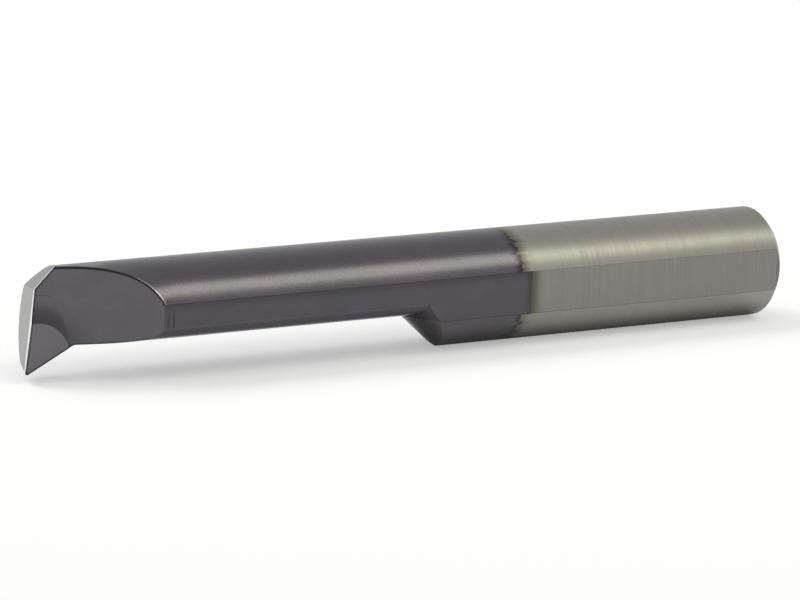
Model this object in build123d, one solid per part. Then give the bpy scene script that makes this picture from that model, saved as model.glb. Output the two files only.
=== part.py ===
"""Miniature boring bar, ground from one carbide rod.

The axis of the shank is X. X = 0 is the shoulder, where the full round shank begins.
The shank runs towards +X, and the neck and the cutting head reach towards -X.
The rake face and the clamping flat face -Y, and the cutting point hangs towards -Z.
All sizes are in millimetres.
"""
from build123d import *
from math import atan2, cos, radians, sin, sqrt, tan
import os

# ---- driving dimensions -------------------------------------------------------------
SHANK_DIAMETER = 6.0          # ground to h6
SHANK_LENGTH = 20.5           # shoulder to rear face
REACH = 24.6                  # shoulder to cutting point
REAR_CHAMFER = 0.35
FLAT_DEPTH = 0.213            # clamping flat below the round surface

NECK_TAPER = 0.01             # the neck narrows this much on the radius, shoulder to point
NECK_THICKNESS = 4.1          # top of the bar to the underside of the neck
NECK_UNDERSIDE_RADIUS = 6.2   # the underside is a shallow arc across the bar
NECK_EDGE_RADIUS = 0.8        # rounds the flat into the underside of the neck
STEP_CENTRE_ASIDE = 0.65      # axis of the step's round, off the bar's axis towards the flat
STEP_CENTRE_UP = 1.2          # and above the bar's axis
RAMP_ANGLE = 40.0             # step from the neck up to the shank
RAMP_CROWN_RADIUS = 1.6       # rounds the top of the step into the shank
RAMP_CROWN_ANGLE = 19.4       # slope left where the crown meets the round

POINT_DROP = 2.5              # axis to cutting point
NOSE_RADIUS = 0.1             # the cutting point seen from the rake side
FRONT_EDGE_TOP = 1.89         # height of the front edge above the axis
FRONT_EDGE_LEAN = 0.47        # how far the front edge leans back over its height
CORNER_ANGLE = 45.5           # slope of the bevel between the front edge and the top
FRONT_CLEARANCE = 16.5        # degrees that the front face falls back
CORNER_CLEARANCE = 21.5       # degrees that the bevel falls back

HEAD_RELIEF_RADIUS = 2.86     # the round below the point, eccentric to the shank
POINT_BACK_ANGLE = 30.5       # slope of the edge behind the point
POINT_BACK_LENGTH = 2.3       # along X, straight part of that edge
HEAD_LENGTH = 3.67            # along X, point to the start of the plain neck

POCKET_RADIUS = 9.6           # sweep of the rake pocket along the bar
POCKET_FRONT_OVERRUN = 0.41   # the sweep is level this far in front of the point
POCKET_SINK = 0.08            # lowest place of the pocket, below centre height
POCKET_EXIT_ROUND = 0.12      # eased edge where the pocket leaves the neck

LAND_RADIUS = 1.87            # raised land that carries the cutting point
LAND_CENTRE_BACK = 0.5        # land centre, behind the point
LAND_CENTRE_UP = 0.8          # land centre, above the point
LAND_SLOPE_BACK = 0.13        # rise of the land per millimetre along the bar
LAND_SLOPE_UP = 0.05          # rise of the land per millimetre away from the point
BREAKER_DEPTH = 0.254         # chip-breaker groove below the land
BREAKER_RADIUS = 4.0          # hollow of the groove

# ---- derived sizes ------------------------------------------------------------------
RADIUS = SHANK_DIAMETER / 2
POINT_X = -REACH
OVERCUT = 8.0                 # half-width of the cutting solids, well past the bar
MARGIN = 1.0                  # how far a cut or the rod starts outside the finished form
FOUND_WITHIN = 0.02           # an edge this close to a surface lies on it
EXIT_BEYOND = -RADIUS / 3     # the pocket's exit edges lie past this Y
FRONT_ANGLE = atan2(FRONT_EDGE_TOP + POINT_DROP, FRONT_EDGE_LEAN)
FLAT_Y = FLAT_DEPTH - RADIUS
NECK_START = POINT_X + HEAD_LENGTH
NECK_AXIS_Z = NECK_UNDERSIDE_RADIUS + RADIUS - NECK_THICKNESS


def outside(point, normal):
    """Block that fills the side of a plane that its normal points to."""
    block = Box(2 * OVERCUT, 2 * OVERCUT, OVERCUT, align=(Align.CENTER, Align.CENTER, Align.MIN))
    return Plane(origin=point, z_dir=normal) * block


def sharp_point():
    """Corner at which the two cutting edges would meet without the nose radius."""
    back_angle = radians(POINT_BACK_ANGLE)
    half = (FRONT_ANGLE - back_angle) / 2
    middle = (FRONT_ANGLE + back_angle) / 2
    below_nose = NOSE_RADIUS / sin(half) * sin(middle) - NOSE_RADIUS
    return Vector(POINT_X - below_nose / tan(FRONT_ANGLE), 0, -POINT_DROP - below_nose)


def rod():
    """Shank with its chamfered rear face, and the neck's blank that narrows a hair in front of it."""
    shank = Plane.YZ * Cylinder(RADIUS, SHANK_LENGTH, align=(Align.CENTER, Align.CENTER, Align.MIN))
    shank = chamfer(shank.edges().sort_by(Axis.X)[-1], REAR_CHAMFER)
    length = REACH + MARGIN
    tip_radius = RADIUS - NECK_TAPER * length / REACH
    neck = Plane(origin=(0, 0, 0), z_dir=(-1, 0, 0)) * Cone(
        RADIUS, tip_radius, length, align=(Align.CENTER, Align.CENTER, Align.MIN))
    return shank + neck


def flat_cut():
    """Clamping flat along the whole bar, on the side of the rake face."""
    width = SHANK_DIAMETER
    block = Box(4 * REACH, width, width, align=(Align.CENTER, Align.MAX, Align.CENTER))
    return Pos(0, FLAT_Y, 0) * block


def below_neck():
    """Space under the plain neck: a shallow arc across the bar, rounded into the flat."""
    arc_centre = Vector(0, NECK_AXIS_Z)
    edge_y = FLAT_Y + NECK_EDGE_RADIUS
    edge_reach = NECK_UNDERSIDE_RADIUS - NECK_EDGE_RADIUS
    edge_centre = Vector(edge_y, NECK_AXIS_Z - sqrt(edge_reach ** 2 - edge_y ** 2))
    on_flat = edge_centre - Vector(NECK_EDGE_RADIUS, 0)
    on_arc = arc_centre + (edge_centre - arc_centre) * (NECK_UNDERSIDE_RADIUS / edge_reach)
    arc_end = Vector(RADIUS, NECK_AXIS_Z - sqrt(NECK_UNDERSIDE_RADIUS ** 2 - RADIUS ** 2))
    middle = arc_centre - Vector(0, NECK_UNDERSIDE_RADIUS)
    section = Curve() + [
        TangentArc(on_flat, on_arc, tangent=(0, -1)),
        ThreePointArc(on_arc, middle, arc_end),
        Polyline(arc_end, (OVERCUT, arc_end.Y), (OVERCUT, -OVERCUT), (-OVERCUT, -OVERCUT),
                 (-OVERCUT, on_flat.Y), on_flat),
    ]
    start = Plane(origin=(NECK_START, 0, 0), x_dir=(0, 1, 0), z_dir=(1, 0, 0))
    return extrude(start * make_face(section), -NECK_START + MARGIN)


def step_round():
    """Round space that opens to the step: turned about an axis of its own, with a crowned ramp."""
    slope = radians(RAMP_ANGLE)
    crown_end = radians(RAMP_CROWN_ANGLE)
    outer = RADIUS + sqrt(STEP_CENTRE_UP ** 2 + STEP_CENTRE_ASIDE ** 2)
    crown_rise = RAMP_CROWN_RADIUS * (cos(crown_end) - cos(slope))
    crown_run = RAMP_CROWN_RADIUS * (sin(slope) - sin(crown_end))
    crown_start = (-crown_run, outer - crown_rise)
    inner = STEP_CENTRE_UP
    ramp_start = (crown_start[0] - (crown_start[1] - inner) / tan(slope), inner)
    over_end = (MARGIN, outer + MARGIN * tan(crown_end))
    before = NECK_START - MARGIN
    profile = Curve() + [
        Polyline((before, 0), (ramp_start[0], 0), ramp_start, crown_start),
        TangentArc(crown_start, (0, outer), tangent=(cos(slope), sin(slope))),
        Polyline((0, outer), over_end, (over_end[0], OVERCUT), (before, OVERCUT), (before, 0)),
    ]
    centre = (0, -STEP_CENTRE_ASIDE, STEP_CENTRE_UP)
    half = Plane(origin=centre, x_dir=(1, 0, 0), z_dir=(0, 1, 0)) * make_face(profile)
    return revolve(half, Axis(centre, (1, 0, 0)))


def neck_cut():
    """Space under the neck, closed behind by the step."""
    return below_neck() & step_round()


def head_relief_cut():
    """Clearance round of the head: eccentric, touching the cutting point."""
    centre_z = HEAD_RELIEF_RADIUS - POINT_DROP
    start_x = POINT_X - MARGIN
    length = HEAD_LENGTH + MARGIN
    frame = Plane(origin=(start_x, 0, centre_z), x_dir=(0, 1, 0), z_dir=(1, 0, 0))
    section = Circle(OVERCUT) - Circle(HEAD_RELIEF_RADIUS)
    return extrude(frame * section, length)


def point_back_cut():
    """Space behind the cutting point, turned about the same raised axis as the neck's underside."""
    slope = radians(POINT_BACK_ANGLE)
    corner = sharp_point()
    corner_radius = NECK_AXIS_Z - corner.Z
    before = (corner.X - MARGIN, corner_radius + MARGIN * tan(slope))
    straight_end = (corner.X + POINT_BACK_LENGTH, corner_radius - POINT_BACK_LENGTH * tan(slope))
    run_out = (straight_end[1] - NECK_UNDERSIDE_RADIUS) / tan(slope / 2)
    sweep_end = (straight_end[0] + run_out, NECK_UNDERSIDE_RADIUS)
    outline = Curve() + [
        Line(before, straight_end),
        TangentArc(straight_end, sweep_end, tangent=(cos(slope), -sin(slope))),
        Polyline(sweep_end, (NECK_START, NECK_UNDERSIDE_RADIUS), (NECK_START, 2 * OVERCUT),
                 (before[0], 2 * OVERCUT), before),
    ]
    centre = (0, 0, NECK_AXIS_Z)
    half = Plane(origin=centre, x_dir=(1, 0, 0), z_dir=(0, 1, 0)) * make_face(outline)
    return revolve(half, Axis(centre, (1, 0, 0)))


def front_cuts():
    """Front clearance face and the bevelled corner above it."""
    corner = Vector(POINT_X + FRONT_EDGE_LEAN, 0, FRONT_EDGE_TOP)
    front_edge = corner - sharp_point()
    front_away = Vector(tan(radians(FRONT_CLEARANCE)), 1, 0)
    bevel_edge = Vector(cos(radians(CORNER_ANGLE)), 0, sin(radians(CORNER_ANGLE)))
    bevel_away = Vector(tan(radians(CORNER_CLEARANCE)), 1, 0)
    return [outside(corner, front_edge.cross(front_away)),
            outside(corner, bevel_edge.cross(bevel_away))]


def nose_cut():
    """Sliver outside the nose radius, along the line where front and back faces meet."""
    back_angle = radians(POINT_BACK_ANGLE)
    half = (FRONT_ANGLE - back_angle) / 2
    up_front = Vector(cos(FRONT_ANGLE), sin(FRONT_ANGLE))
    up_back = Vector(cos(back_angle), sin(back_angle))
    reach = NOSE_RADIUS / tan(half)
    sharp = sharp_point()
    corner = Vector(sharp.X, sharp.Z)
    front_touch = corner + up_front * reach
    back_touch = corner + up_back * reach
    outer = corner - (up_front + up_back) * reach
    front_side = front_touch + Vector(-sin(FRONT_ANGLE), cos(FRONT_ANGLE)) * NOSE_RADIUS
    back_side = back_touch + Vector(sin(back_angle), -cos(back_angle)) * NOSE_RADIUS
    outline = Curve() + [
        TangentArc(back_touch, front_touch, tangent=(-up_back.X, -up_back.Y)),
        Polyline(front_touch, front_side, outer, back_side, back_touch),
    ]
    away_x = tan(radians(FRONT_CLEARANCE))
    climb = tan(back_angle)
    along_front = away_x * climb / (sin(FRONT_ANGLE) - cos(FRONT_ANGLE) * climb)
    away = Vector(away_x + along_front * cos(FRONT_ANGLE), 1, along_front * sin(FRONT_ANGLE))
    start = Plane.XZ.offset(MARGIN)
    start.origin = start.origin - Vector(away.X, 0, away.Z) * MARGIN
    return extrude(start * make_face(outline), (MARGIN + RADIUS) * away.length, dir=away)


def pocket_floor_y(x):
    """Height of the swept pocket floor at a place along the bar."""
    along = x - (POINT_X - POCKET_FRONT_OVERRUN)
    return POCKET_SINK - POCKET_RADIUS + sqrt(POCKET_RADIUS ** 2 - along ** 2)


def land():
    """Raised land under the cutting point, with the hollow of the chip breaker round it."""
    normal = Vector(-LAND_SLOPE_BACK, -1, -LAND_SLOPE_UP)
    centre_x = POINT_X + LAND_CENTRE_BACK
    centre_z = -POINT_DROP + LAND_CENTRE_UP
    centre_y = -LAND_SLOPE_BACK * LAND_CENTRE_BACK - LAND_SLOPE_UP * LAND_CENTRE_UP
    groove_run = sqrt(2 * BREAKER_RADIUS * BREAKER_DEPTH - BREAKER_DEPTH ** 2)
    rim = (LAND_RADIUS, 0)
    groove_bottom = (LAND_RADIUS + groove_run, -BREAKER_DEPTH)
    below = (groove_bottom[0], -RADIUS)
    section = Curve() + [
        Line((0, 0), rim),
        TangentArc(groove_bottom, rim, tangent=(-1, 0)),
        Polyline(groove_bottom, below, (0, -RADIUS), (0, 0)),
    ]
    frame = Plane(origin=(centre_x, centre_y, centre_z), z_dir=normal)
    upright = Plane(origin=frame.origin, x_dir=frame.x_dir, z_dir=-frame.y_dir)
    return revolve(upright * make_face(section), Axis(frame.origin, frame.z_dir))


def pocket_cut():
    """Rake pocket: one long sweep along the bar that spares the land."""
    level_x = POINT_X - POCKET_FRONT_OVERRUN
    exit_y = -RADIUS - MARGIN
    exit_run = sqrt(POCKET_RADIUS ** 2 - (POCKET_RADIUS - POCKET_SINK + exit_y) ** 2)
    exit_point = (level_x + exit_run, exit_y)
    floor = TangentArc((level_x, POCKET_SINK), exit_point, tangent=(1, 0))
    mouth = Polyline(exit_point, (level_x - MARGIN, exit_y), (level_x - MARGIN, POCKET_SINK),
                     (level_x, POCKET_SINK))
    sweep = extrude(Pos(0, 0, -OVERCUT) * make_face(Curve() + [floor, mouth]), 2 * OVERCUT)
    return sweep - land()


def near_pocket_exit(edge):
    """True for the edges along which the pocket floor leaves the neck."""
    middle = edge.position_at(0.5)
    if middle.X > POINT_X + POCKET_RADIUS - POCKET_FRONT_OVERRUN or middle.Y > EXIT_BEYOND:
        return False
    return abs(middle.Y - pocket_floor_y(middle.X)) < FOUND_WITHIN


def boring_bar():
    """The whole bar as one solid."""
    bar = rod() - flat_cut()
    bar -= neck_cut()
    bar -= point_back_cut()
    for cut in front_cuts():
        bar -= cut
    bar -= nose_cut()
    bar -= head_relief_cut()
    bar -= pocket_cut()
    return fillet(bar.edges().filter_by(near_pocket_exit), POCKET_EXIT_ROUND)


bar = boring_bar()
bar.label = "boring_bar"
os.makedirs("parts", exist_ok=True)
export_step(bar, "parts/boring_bar.step")
print("solids", len(bar.solids()), "volume", round(bar.volume, 2), "size", bar.bounding_box().size)
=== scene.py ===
"""A miniature boring bar on a pale table: coated neck and cutting head, bare ground shank.

The frame is the part's own, in metres: X runs along the bar to the rear of the shank, the
rake face and the clamping flat face -Y, and the cutting point hangs towards -Z.
"""
import bpy
from math import radians
from mathutils import Euler, Matrix, Vector
from types import SimpleNamespace


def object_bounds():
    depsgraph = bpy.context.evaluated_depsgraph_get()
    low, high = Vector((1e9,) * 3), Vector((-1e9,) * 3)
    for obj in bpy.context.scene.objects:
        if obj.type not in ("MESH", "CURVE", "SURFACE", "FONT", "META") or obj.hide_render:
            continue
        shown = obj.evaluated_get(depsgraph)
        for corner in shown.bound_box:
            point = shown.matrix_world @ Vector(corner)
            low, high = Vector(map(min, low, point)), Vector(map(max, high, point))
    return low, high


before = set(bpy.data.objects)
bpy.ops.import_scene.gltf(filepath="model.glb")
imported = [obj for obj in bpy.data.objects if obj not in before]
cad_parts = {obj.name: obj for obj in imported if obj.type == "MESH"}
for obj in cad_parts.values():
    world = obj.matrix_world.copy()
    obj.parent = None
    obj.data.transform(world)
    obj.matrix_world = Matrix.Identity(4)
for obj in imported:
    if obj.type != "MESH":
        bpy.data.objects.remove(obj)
CAD_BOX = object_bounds()

MM = 0.001
SMOOTH = {"interpolation_type": "SMOOTHSTEP"}   # a Map Range that eases in and out
COLOURS = {"data_type": "RGBA"}                 # a Mix of two colours

# ---- the bar's own sizes, in millimetres from the shoulder and the axis ------------------
REACH = 24.6                  # shoulder to cutting point
POINT_DROP = 2.5              # axis to cutting point
FLAT_Y = -2.787               # the clamping flat's plane
FLAT_TOP = 1.11               # the flat's edges are this far above and below the axis
CHAMFER_START = 20.15         # the rear chamfer begins here
HEAD_END = -20.0              # behind this X there is no cutting head
LAND_RADIUS = 1.87            # raised land that carries the cutting point
LAND_CENTRE_X = -REACH + 0.5
LAND_CENTRE_Z = -POINT_DROP + 0.8
POCKET_RADIUS = 9.6           # sweep of the rake pocket, level at the X below
POCKET_LEVEL_X = -25.01
POCKET_SINK = 0.08            # lowest place of the sweep, past the axis
FACET_TILT = -0.6             # the ground front facets have a normal X below this
RAKE_TILT = -0.8              # and the rake face has a normal Y below this

# ---- where the coating ends, in millimetres from the shoulder ----------------------------
COAT_END_ON_ROUND = 3.6
COAT_END_ON_FLAT = 4.1
COAT_TEETH = 0.6              # length of the ragged teeth on the round
COAT_TEETH_PITCH = 0.3        # round the bar, from tooth to tooth
COAT_BURN = 0.55              # width of the dark band just inside the coating's end
HEAT_TINT = 0.75              # width of the straw tint that fades away behind it

# ---- the finishes' patterns, in millimetres ------------------------------------------------
MOTTLE_PITCH = (2.6, 1.6, 1.6)      # faint violet clouds of the coating
CLOUD_PITCH = (5, 2.5, 2.5)         # warmer and cooler patches of the bare carbide
DROPLET_PITCH = (0.1, 0.1, 0.1)     # real ones are a few micrometres: too fine to show, so drawn coarser
WHEEL_PITCH = (0.14, 6, 6)          # real marks are about 0.01 apart along the bar, so drawn coarser too
RELIEF = 0.02                       # drawn deeper than the real micrometre, to suit those patterns

# ---- gloss -----------------------------------------------------------------------------------
COATING_ROUGHNESS = (0.24, 0.29)    # smooth satin, a little rougher on the droplets
CARBIDE_ROUGHNESS = (0.37, 0.43)    # as a fine wheel leaves it
POLISH_WEIGHT = 0.25                # a faint sharper gloss over both, from the finest grains
POLISH_ROUGHNESS = 0.2

# ---- painted shade and highlights at the edges, and marks that the grinding leaves, in millimetres ---
BREAKER_SHADE = 1.5           # how far the painted shade in the chip-breaker hollow reaches, away from the land
EDGE_LINE = 0.25              # painted shade darkens the rake face this close to a sharp edge
GROOVE_END = (3.0, 3.55)      # from the land's centre: the chip breaker's own end, which stays clear
GROOVE_END_X = -24.02         # in front of here
CUTTING_LAND = 0.2            # painted highlight in a band on the facets, along the honed cutting edges
RIM_LINE = 0.06               # painted shade in a dark line on the round, up to this far behind the pocket's floor
RIM_SLIVER = 0.14             # and a painted highlight on the eased edge beyond the line, up to here
RIM_SLIVER_START = -19.0      # the sliver starts at this X
RIM_END = -17.9               # and both end where the pocket runs out on the flat
WHEEL_LINES = (-17.94, -17.6) # two fine lines that the wheel leaves across the flat, by the pocket
WHEEL_LINE_WIDTH = 0.1        # half of one, with its soft sides
WHEEL_LINE_WANDER = 0.2       # how far one strays

# ---- tones of the finishes and of the painted light and shade, in sRGB -----------------------
COATING_GREY = "#59575C"
COATING_VIOLET = "#5E5962"
LAND_PAINTED_LIGHT = "#777279"      # painted light on the raised land
COATING_PAINTED_SHADE = "#37363A"      # painted shade in the hollow, and along the top of the flat
COATING_BURNT = "#231E1E"
FACET_GREY = "#7A7A7B"
# painted light on the facets' upward-facing part
FACET_TOP_PAINTED_LIGHT = "#9C9C9D"
CARBIDE_COOL = "#92908A"
CARBIDE_WARM = "#9A9790"
CARBIDE_MARK = "#5E5C57"
# painted shade on the rear chamfer
CHAMFER_PAINTED_SHADE = "#6B6864"
CARBIDE_STRAW = "#56523F"
FLAT_PAINTED_SHADE = "#E0E0E0"         # painted shade: multiplies both finishes on the flat
ROUND_PAINTED_LIGHT = "#D8D6D0"        # painted light on the round below the flat
# painted shade in dark lines along the head's edges; also the wheel's dark marks on the flat
SHADE_AND_MARK_DARK = "#1A181B"
# painted highlight on the eased edge beside the pocket
SLIVER_HIGHLIGHT = "#8E8C8F"
# painted highlight along the honed cutting edges
HONED_EDGE_HIGHLIGHT = "#F0F0F0"
TABLE_WHITE = "#EDEDED"

# ---- camera, its place in metres -------------------------------------------------------------
CAMERA_PLACE = Vector((-0.13256, -0.20590, 0.04972))
CAMERA_AZIMUTH = 32.3         # degrees from -Y towards the cutting head
CAMERA_ELEVATION = 11.63      # degrees it looks down
CAMERA_ROLL = 1.906           # degrees
CAMERA_LENS = 212.0           # millimetres on a 36 mm sensor

# ---- light and table, in metres and watts ----------------------------------------------------
ROOM_MIRRORED = 0.83          # what the bar mirrors of the pale room
ROOM_SOFT_LIGHT = 0.45        # what the room sheds on matt surfaces
CEILING_PLACE = Vector((-0.150, 0.200, 0.320))
CEILING_SIZE = (0.2, 0.2)
CEILING_POWER = 0.58
SOFTBOX_PLACE = Vector((0.166, -0.144, 0.253))
SOFTBOX_SIZE = (0.15, 0.10)
SOFTBOX_POWER = 0.14
TABLE_REACH = 3.0             # from the bar to the table's edge
TABLE_GAP = 0.01 * MM         # between the bar and the table
TABLE_GLOW = 0.47             # makes the open table white to the eye and in the bar's mirror
FAR_GLOW = 0.4                # added to it on the table far from the bar
FAR_GLOW_RISES = (0.1, 0.8)   # between these distances
CONTACT_SHADE = 10.0 * MM     # within which the bar dims that glow
SHADE_LEFT = 0.8              # of the glow that the eye still sees right under the bar


def linear(hex_colour):
    """Linear RGBA from an sRGB hex string."""
    channels = [int(hex_colour[i:i + 2], 16) / 255 for i in (1, 3, 5)]
    return tuple(c / 12.92 if c <= 0.04045 else ((c + 0.055) / 1.055) ** 2.4 for c in channels) + (1.0,)


def add(tree, kind, *inputs, named=None, **settings):
    """Adds one node with its settings, then fills the sockets it uses, in order or by name.

    An input that is a socket is linked, and one that is a node is linked from its first output.
    """
    made = tree.nodes.new("ShaderNode" + kind)
    for name, value in settings.items():
        setattr(made, name, value)
    pairs = list(zip([socket for socket in made.inputs if socket.enabled], inputs))
    pairs += [(made.inputs[name], value) for name, value in (named or {}).items()]
    for socket, value in pairs:
        if isinstance(value, bpy.types.Node):
            value = [output for output in value.outputs if output.enabled][0]
        if isinstance(value, bpy.types.NodeSocket):
            tree.links.new(value, socket)
        else:
            socket.default_value = value
    return made


def both(tree, *masks):
    """Mask that is 1 only where every mask given is 1. A plain number weakens it."""
    whole = masks[0]
    for mask in masks[1:]:
        whole = add(tree, "Math", whole, mask, operation="MULTIPLY")
    return whole


def layered(tree, colour, *layers):
    """Colour with each layer, a mask and the tone it brings, laid over it in turn."""
    for mask, tone in layers:
        colour = add(tree, "Mix", mask, colour, linear(tone), **COLOURS)
    return colour


def blotches(tree, spot, pitch, detail=2.0, roughness=0.5):
    """Uneven pattern from 0 to 1, its blotches as far apart as the pitches along X, Y and Z."""
    scaled = add(tree, "VectorMath", spot, [1 / step for step in pitch], operation="MULTIPLY")
    return add(tree, "TexNoise",
               named={"Vector": scaled, "Scale": 1.0, "Detail": detail, "Roughness": roughness})


# ---- camera and studio -----------------------------------------------------------------------
def make_camera():
    """Long lens, in front of the cutting head and a little above the bar."""
    data = bpy.data.cameras.new("long_lens")
    data.lens = CAMERA_LENS
    data.sensor_width = 36.0
    data.clip_start = 0.01
    data.clip_end = 10.0
    camera = bpy.data.objects.new("camera", data)
    aim = Euler((radians(90 - CAMERA_ELEVATION), 0, radians(-CAMERA_AZIMUTH))).to_matrix()
    turn = Matrix.Rotation(radians(CAMERA_ROLL), 3, "Z")
    camera.matrix_world = Matrix.Translation(CAMERA_PLACE) @ (aim @ turn).to_4x4()
    bpy.context.scene.collection.objects.link(camera)
    bpy.context.scene.camera = camera


def softbox(name, place, size, power, colour):
    """Rectangular soft lamp, turned to the bar and out of the eye's sight."""
    data = bpy.data.lights.new(name, "AREA")
    data.shape = "RECTANGLE"
    data.size, data.size_y = size
    data.energy = power
    data.color = linear(colour)[:3]
    lamp = bpy.data.objects.new(name, data)
    lamp.location = place
    lamp.rotation_euler = (-place).to_track_quat("-Z", "Y").to_euler()
    lamp.visible_camera = False
    bpy.context.scene.collection.objects.link(lamp)


def seen(tree):
    """1 for what the eye sees straight or in a mirror, 0 for the light shed on matt surfaces."""
    rays = add(tree, "LightPath").outputs
    return add(tree, "Math", rays["Is Camera Ray"], rays["Is Glossy Ray"], operation="MAXIMUM")


def matt_white_laminate():
    """Matt laminate: pale, with no gloss, so all it shows is the soft shadow of the bar.

    It glows a little, only to the eye and in mirrors, so that it's as white as the room.
    """
    material = bpy.data.materials.new("matt_white_laminate")
    material.use_nodes = True
    tree = material.node_tree
    tree.nodes.clear()
    board = add(tree, "BsdfDiffuse", linear(TABLE_WHITE), 0.6)
    # the glow dims near the bar by ambient occlusion: a painted contact shadow beside the lamps' real one
    open_air = add(tree, "AmbientOcclusion", named={"Distance": CONTACT_SHADE}, samples=8).outputs["AO"]
    eye = add(tree, "LightPath").outputs["Is Camera Ray"]
    darkest = add(tree, "Math", eye, SHADE_LEFT, operation="MULTIPLY")
    shade = add(tree, "MapRange", open_air, 0.0, 1.0, darkest, 1.0, **SMOOTH)
    away = add(tree, "VectorMath", add(tree, "TexCoord").outputs["Object"], operation="LENGTH")
    level = add(tree, "MapRange", away, *FAR_GLOW_RISES, TABLE_GLOW, TABLE_GLOW + FAR_GLOW, **SMOOTH)
    glow = add(tree, "Emission", named={"Strength": both(tree, seen(tree), shade, level)})
    add(tree, "OutputMaterial", add(tree, "AddShader", board, glow))
    return material


def make_table():
    """Wide flat table that the shank lies on."""
    level = CAD_BOX[0].z - TABLE_GAP
    low, high = -TABLE_REACH, TABLE_REACH
    corners = [(low, low, level), (high, low, level), (high, high, level), (low, high, level)]
    mesh = bpy.data.meshes.new("table")
    mesh.from_pydata(corners, [], [(0, 1, 2, 3)])
    mesh.materials.append(matt_white_laminate())
    table = bpy.data.objects.new("table", mesh)
    bpy.context.scene.collection.objects.link(table)


def make_world():
    """Even pale room: white to the eye, a little dimmer in what the bar mirrors."""
    world = bpy.data.worlds.new("pale_room")
    world.use_nodes = True
    bpy.context.scene.world = world
    tree = world.node_tree
    tree.nodes.clear()
    eye = add(tree, "LightPath").outputs["Is Camera Ray"]
    level = add(tree, "MapRange", seen(tree), 0.0, 1.0, ROOM_SOFT_LIGHT, ROOM_MIRRORED, **SMOOTH)
    strength = add(tree, "MapRange", eye, 0.0, 1.0, level, 1.0, **SMOOTH)
    add(tree, "OutputWorld", add(tree, "Background", named={"Strength": strength}))


# ---- where a spot is on the bar ----------------------------------------------------------------
def places_on_bar(tree):
    """Where a spot lies, in millimetres, and masks of the ground faces it may be on."""
    at = SimpleNamespace()
    place = add(tree, "TexCoord")
    at.spot = add(tree, "VectorMath", place.outputs["Object"], 1 / MM, operation="SCALE")
    at.x, y, at.z = add(tree, "SeparateXYZ", at.spot).outputs
    at.facing_x, facing_y, at.facing_up = add(tree, "SeparateXYZ", place.outputs["Normal"]).outputs

    at.on_flat = add(tree, "MapRange", y, FLAT_Y + 0.03, FLAT_Y + 0.01, **SMOOTH)
    at.off_flat = add(tree, "Math", 1.0, at.on_flat, operation="SUBTRACT")
    at_head = add(tree, "MapRange", at.x, HEAD_END + 0.01, HEAD_END, **SMOOTH)
    faces_front = add(tree, "MapRange", at.facing_x, FACET_TILT + 0.02, FACET_TILT, **SMOOTH)
    at.facet = both(tree, at_head, faces_front)
    faces_rake = add(tree, "MapRange", facing_y, RAKE_TILT, RAKE_TILT - 0.05, **SMOOTH)
    at.rake = both(tree, at_head, faces_rake)

    seen_from_rake = add(tree, "CombineXYZ", at.x, 0.0, at.z)
    land_centre = (LAND_CENTRE_X, 0.0, LAND_CENTRE_Z)
    at.from_land = add(tree, "VectorMath", seen_from_rake, land_centre, operation="DISTANCE")
    off_land = add(tree, "MapRange", at.from_land, LAND_RADIUS - 0.03, LAND_RADIUS + 0.01, **SMOOTH)
    near_land = add(tree, "MapRange", at.from_land, LAND_RADIUS + BREAKER_SHADE, LAND_RADIUS, **SMOOTH)
    at.land = both(tree, at.rake, add(tree, "Math", 1.0, off_land, operation="SUBTRACT"))
    at.hollow = both(tree, at.rake, off_land, near_land)

    # how far the spot is behind the floor that the wheel swept for the rake pocket
    along = add(tree, "Math", at.x, POCKET_LEVEL_X, operation="SUBTRACT")
    squared = add(tree, "Math", along, along, operation="MULTIPLY")
    rest = add(tree, "Math", POCKET_RADIUS ** 2, squared, operation="SUBTRACT")
    sweep = add(tree, "Math", rest, operation="SQRT")
    lifted = add(tree, "Math", y, POCKET_RADIUS - POCKET_SINK, operation="ADD")
    at.behind_floor = add(tree, "Math", lifted, sweep, operation="SUBTRACT")
    return at


def coat_depth(tree, at):
    """Millimetres from the end of the coating, positive on the coated side."""
    pitch = (1000, COAT_TEETH_PITCH, COAT_TEETH_PITCH)
    jag = blotches(tree, at.spot, pitch, detail=3, roughness=0.7)
    tooth = add(tree, "Math", jag, 2 * COAT_TEETH, COAT_END_ON_ROUND - COAT_TEETH, operation="MULTIPLY_ADD")
    end = add(tree, "MapRange", at.on_flat, 0.0, 1.0, tooth, COAT_END_ON_FLAT, **SMOOTH)
    return add(tree, "Math", end, at.x, operation="SUBTRACT")


# ---- finishes ------------------------------------------------------------------------------------
def hard_coating(tree, at, depth):
    """Vapour-deposited nitride: dark violet-grey, faintly mottled, burnt brown where it ends; with painted
    light and shade.
    """
    mottle = blotches(tree, at.spot, MOTTLE_PITCH, detail=3, roughness=0.6)
    cloud = add(tree, "MapRange", mottle, 0.35, 0.65, **SMOOTH)
    flat_top = add(tree, "MapRange", at.z, FLAT_TOP - 0.5, FLAT_TOP, **SMOOTH)
    corner = add(tree, "MapRange", at.facing_up, 0.3, 0.4, **SMOOTH)
    burn = add(tree, "MapRange", depth, COAT_BURN, 0.05, **SMOOTH)
    burn_strength = add(tree, "MapRange", at.on_flat, 0.0, 1.0, 0.8, 0.35, **SMOOTH)
    # painted light on the land and the facets' tops, painted shade in the hollow and along the flat's top
    return layered(tree, linear(COATING_GREY),
                   (cloud, COATING_VIOLET),
                   (both(tree, at.land, 0.35), LAND_PAINTED_LIGHT),
                   (both(tree, at.hollow, 0.5), COATING_PAINTED_SHADE),
                   (both(tree, at.on_flat, flat_top, 0.4), COATING_PAINTED_SHADE),
                   (at.facet, FACET_GREY),
                   (both(tree, at.facet, corner), FACET_TOP_PAINTED_LIGHT),
                   (both(tree, burn, burn_strength), COATING_BURNT))


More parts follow.
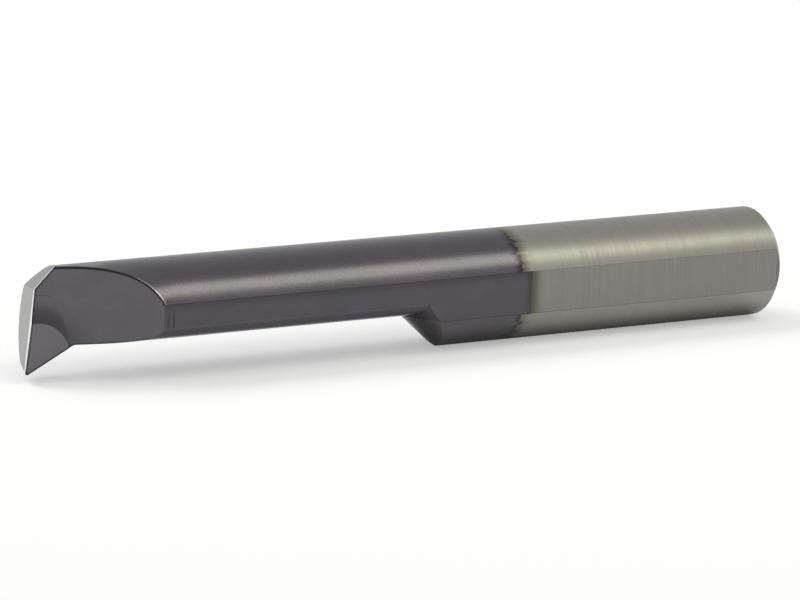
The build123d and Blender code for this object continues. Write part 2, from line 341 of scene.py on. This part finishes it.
def ground_carbide(tree, at, depth, marks):
    """Bare cemented carbide: warm grey, streaked round the bar by the wheel, straw by the coating, with
    painted shade on the rear chamfer.
    """
    cloud = blotches(tree, at.spot, CLOUD_PITCH)
    marked = add(tree, "MapRange", marks, 0.3, 0.7, 0.0, 0.08, **SMOOTH)
    past_round = add(tree, "MapRange", at.x, CHAMFER_START, CHAMFER_START + 0.02, **SMOOTH)
    not_rear_face = add(tree, "MapRange", at.facing_x, 0.95, 0.9, **SMOOTH)
    straw = add(tree, "MapRange", depth, -HEAT_TINT, 0.0, 0.0, 0.8, **SMOOTH)
    return layered(tree, linear(CARBIDE_COOL),
                   (cloud, CARBIDE_WARM),
                   (marked, CARBIDE_MARK),
                   (both(tree, past_round, not_rear_face, 0.5), CHAMFER_PAINTED_SHADE),
                   (straw, CARBIDE_STRAW))


def flat_and_round(tree, at, cover, colour):
    """Painted shade that darkens the clamping flat a little, and painted light that makes the round below
    it a little paler.
    """
    colour = add(tree, "Mix", at.on_flat, colour, linear(FLAT_PAINTED_SHADE), blend_type="MULTIPLY", **COLOURS)
    under_flat = add(tree, "MapRange", at.z, 0.05 - FLAT_TOP, -FLAT_TOP, **SMOOTH)
    above_bottom = add(tree, "MapRange", at.z, -2.4, -1.7, **SMOOTH)
    behind_head = add(tree, "MapRange", at.x, HEAD_END, HEAD_END + 0.01, **SMOOTH)
    strength = add(tree, "MapRange", cover, 0.0, 1.0, 0.2, 0.08, **SMOOTH)
    return layered(tree, colour,
                   (both(tree, under_flat, above_bottom, at.off_flat, behind_head, strength), ROUND_PAINTED_LIGHT))


def sharp_edge(tree):
    """1 on a sharp edge, falling to 0 beside it, where the rounded surface agrees with the true one."""
    rounded = add(tree, "Bevel", EDGE_LINE * MM, samples=8)
    true = add(tree, "NewGeometry").outputs["Normal"]
    agreement = add(tree, "VectorMath", rounded, true, operation="DOT_PRODUCT")
    return add(tree, "MapRange", agreement, 0.993, 0.92, **SMOOTH)


def edge_shade_and_highlights(tree, at, colour):
    """Painted shade and highlights along the head's slightly rounded edges.

    The rake face has a fine dark line of painted shade, the facets have a bright band of painted
    highlight along the honed cutting edges, and the round beside the pocket has a dark line of
    painted shade with a painted highlight on the eased edge next to it.
    """
    groove_starts = add(tree, "MapRange", at.from_land, GROOVE_END[0], GROOVE_END[0] + 0.05, **SMOOTH)
    groove_stops = add(tree, "MapRange", at.from_land, GROOVE_END[1], GROOVE_END[1] - 0.05, **SMOOTH)
    groove_front = add(tree, "MapRange", at.x, GROOVE_END_X - 0.06, GROOVE_END_X, **SMOOTH)
    groove_end = both(tree, groove_starts, groove_stops, groove_front)
    clear_of_groove = add(tree, "Math", 1.0, groove_end, operation="SUBTRACT")
    rim_shade = both(tree, at.rake, sharp_edge(tree), clear_of_groove, 0.85)

    by_edge = add(tree, "MapRange", at.behind_floor, CUTTING_LAND + 0.03, CUTTING_LAND - 0.03, **SMOOTH)
    honed_highlight = both(tree, at.facet, by_edge)

    by_pocket = both(tree,
                     add(tree, "MapRange", at.x, RIM_END + 0.1, RIM_END, **SMOOTH),
                     add(tree, "MapRange", at.facing_up, 0.12, 0.2, **SMOOTH),
                     add(tree, "MapRange", at.z, 0.5, 0.6, **SMOOTH),
                     add(tree, "MapRange", at.from_land, 3.35, 3.45, **SMOOTH),
                     at.off_flat,
                     add(tree, "Math", 1.0, at.facet, operation="SUBTRACT"))
    line = add(tree, "MapRange", at.behind_floor, RIM_LINE + 0.01, RIM_LINE - 0.02, **SMOOTH)
    sliver_highlight = both(tree, by_pocket,
                  add(tree, "MapRange", at.behind_floor, RIM_LINE - 0.02, RIM_LINE, **SMOOTH),
                  add(tree, "MapRange", at.behind_floor, RIM_SLIVER + 0.02, RIM_SLIVER - 0.02, **SMOOTH),
                  add(tree, "MapRange", at.x, RIM_SLIVER_START - 0.5, RIM_SLIVER_START, **SMOOTH))
    return layered(tree, colour,
                   (rim_shade, SHADE_AND_MARK_DARK),
                   (honed_highlight, HONED_EDGE_HIGHLIGHT),
                   (both(tree, by_pocket, line, 0.85), SHADE_AND_MARK_DARK),
                   (sliver_highlight, SLIVER_HIGHLIGHT))


def wheel_lines(tree, at, colour):
    """Two fine dark lines across the flat, where the wheel left the pocket."""
    stray = blotches(tree, at.spot, (2, 0.5, 0.5))
    middle = add(tree, "Math", at.x, WHEEL_LINE_WANDER / 2, operation="SUBTRACT")
    wandering = add(tree, "Math", stray, WHEEL_LINE_WANDER, middle, operation="MULTIPLY_ADD")
    fades_up = add(tree, "MapRange", at.z, 0.9, 0.3, **SMOOTH)
    for line_x in WHEEL_LINES:
        offset = add(tree, "Math", wandering, line_x, operation="SUBTRACT")
        distance = add(tree, "Math", offset, operation="ABSOLUTE")
        line = add(tree, "MapRange", distance, WHEEL_LINE_WIDTH, 0.02, **SMOOTH)
        colour = layered(tree, colour, (both(tree, at.on_flat, line, fades_up, 0.45), SHADE_AND_MARK_DARK))
    return colour


def coated_and_ground_carbide():
    """The bar's one surface: cemented carbide, ground bare at the shank and hard coated in front.

    Both look like metal. The coating is the smoother one, so its highlight is narrow and silky,
    and the ground shank's is broad and streaked by the wheel.
    """
    material = bpy.data.materials.new("coated_and_ground_carbide")
    material.use_nodes = True
    tree = material.node_tree
    tree.nodes.clear()
    at = places_on_bar(tree)
    marks = blotches(tree, at.spot, WHEEL_PITCH, detail=3, roughness=0.6)
    droplets = blotches(tree, at.spot, DROPLET_PITCH, detail=2, roughness=0.7)
    depth = coat_depth(tree, at)
    cover = add(tree, "MapRange", depth, -0.02, 0.03, **SMOOTH)

    bare = ground_carbide(tree, at, depth, marks)
    coated = hard_coating(tree, at, depth)
    colour = add(tree, "Mix", cover, bare, coated, **COLOURS)
    colour = flat_and_round(tree, at, cover, colour)
    colour = edge_shade_and_highlights(tree, at, colour)
    colour = wheel_lines(tree, at, colour)

    rough_coat = add(tree, "MapRange", droplets, 0.3, 0.7, *COATING_ROUGHNESS, **SMOOTH)
    rough_bare = add(tree, "MapRange", marks, 0.3, 0.7, *CARBIDE_ROUGHNESS, **SMOOTH)
    rough = add(tree, "MapRange", cover, 0.0, 1.0, rough_bare, rough_coat, **SMOOTH)
    mark_relief = both(tree, marks, 0.6)
    droplet_relief = both(tree, droplets, 0.3)
    relief = add(tree, "MapRange", cover, 0.0, 1.0, mark_relief, droplet_relief, **SMOOTH)
    bump = add(tree, "Bump", named={"Strength": 0.12, "Distance": RELIEF * MM, "Height": relief})
    metal = add(tree, "BsdfPrincipled",
                named={"Base Color": colour, "Metallic": 1.0, "Roughness": rough, "Normal": bump,
                       "Coat Weight": POLISH_WEIGHT, "Coat Roughness": POLISH_ROUGHNESS})
    add(tree, "OutputMaterial", metal)
    return material


bpy.context.scene.view_settings.view_transform = "Standard"
make_camera()
make_world()
make_table()
softbox("ceiling_softbox", CEILING_PLACE, CEILING_SIZE, CEILING_POWER, "#FFFFFF")
softbox("front_softbox", SOFTBOX_PLACE, SOFTBOX_SIZE, SOFTBOX_POWER, "#FFFDE6")
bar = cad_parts["boring_bar"]
bar.material_slots[0].material = coated_and_ground_carbide()
